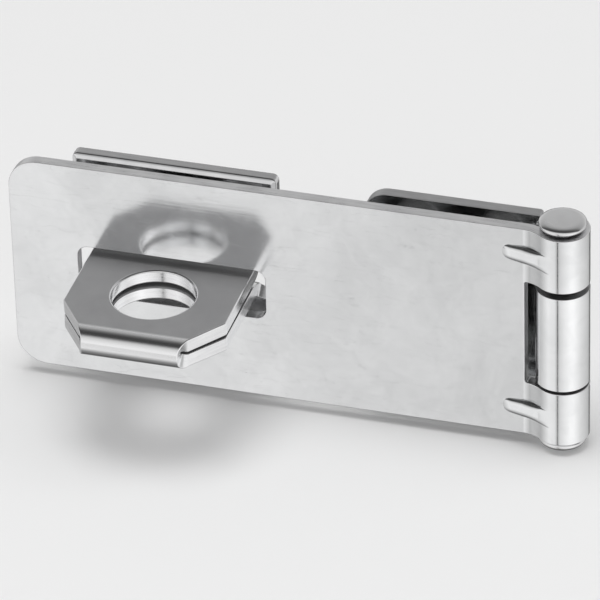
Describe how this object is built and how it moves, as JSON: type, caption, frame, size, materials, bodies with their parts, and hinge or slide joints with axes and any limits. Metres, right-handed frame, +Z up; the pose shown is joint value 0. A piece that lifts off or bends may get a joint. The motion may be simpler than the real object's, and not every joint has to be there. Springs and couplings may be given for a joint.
{
  "type": "hasp and staple",
  "caption": "Surface-mounted hasp: a hinged slotted leaf closes over a folded steel eye that takes a padlock's shackle.",
  "frame": {"origin": "centre of the fixed leaf's back face, where it lies on the door frame", "axes": "+X along the closed hasp towards the hinge, +Y into the mounting surface, +Z up along the hinge pin"},
  "size_m": [0.095, 0.0277, 0.042],
  "materials": {
    "zinc_leaf": "bright zinc-plated steel sheet with faint cloudy mottling and fine handling scratches",
    "zinc_plate": "bright zinc-plated steel sheet, a little greyer than the leaf",
    "zinc_pin": "smooth bright zinc-plated steel, riveted over at both ends",
    "zinc_staple": "hardened steel strip, satin grey zinc with brighter sheared edges"
  },
  "bodies": {
    "base": {"hinge_leaf": "zinc_plate", "staple": "zinc_staple"},
    "leaf": {"hasp_leaf": "zinc_leaf", "hinge_pin": "zinc_pin"}
  },
  "joints": [
    {"name": "hasp_hinge", "type": "hinge", "parent": "base", "child": "leaf", "pos_m": [0.018, -0.00435, 0], "axis": [0, 0, 1], "range_deg": [0, 180]}
  ]
}
